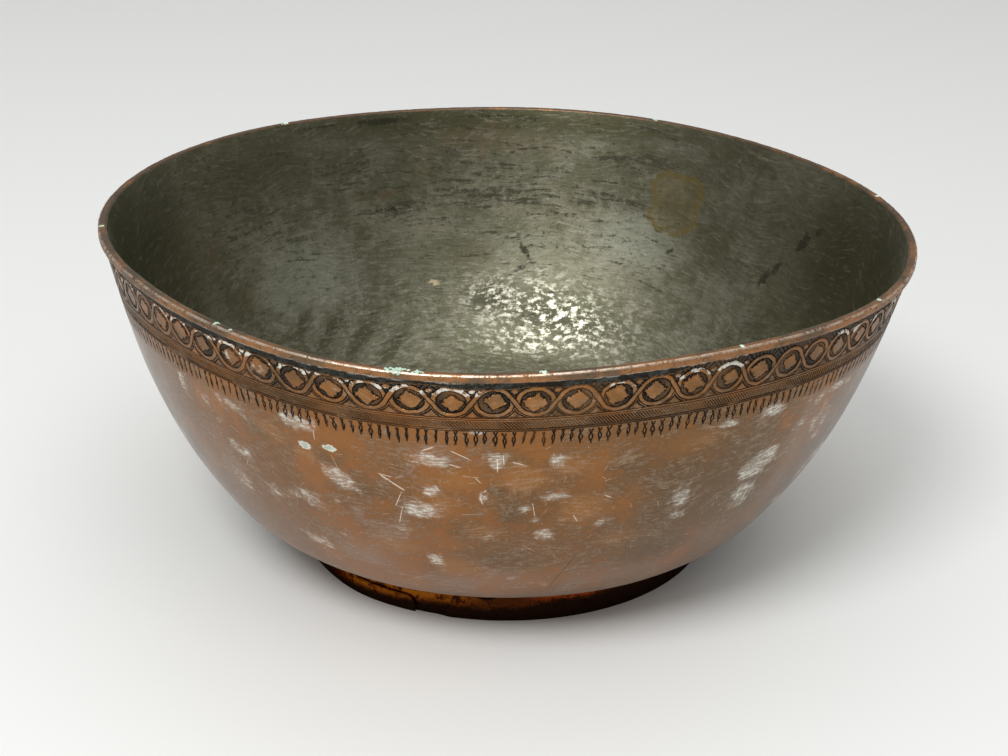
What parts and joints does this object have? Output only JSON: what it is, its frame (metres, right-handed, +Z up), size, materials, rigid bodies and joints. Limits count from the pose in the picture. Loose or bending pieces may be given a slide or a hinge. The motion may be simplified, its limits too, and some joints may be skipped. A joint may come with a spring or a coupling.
{
  "type": "footed bowl",
  "caption": "Hand-raised round copper bowl with a turned-out rim, an engraved scroll band, a tinned inside and a low lapped strip foot.",
  "frame": {"origin": "on the floor, at the middle of the foot ring", "axes": "+Z up out of the mouth; -Y towards the side that the picture shows, with the foot's lap left of its middle; +X to its right"},
  "size_m": [0.2822, 0.2822, 0.1199],
  "materials": {
    "copper": "worn satin copper, brown patina, dark in the engraving",
    "tin": "old wiped tin, grey-green, streaked round",
    "foot_copper": "heat-darkened copper, amber to black",
    "solder": "dull rough soft braze"
  },
  "bodies": {
    "root": {"bowl_body": "copper", "tin_lining": "tin", "foot_ring": "foot_copper", "foot_braze": "solder"}
  },
  "joints": []
}
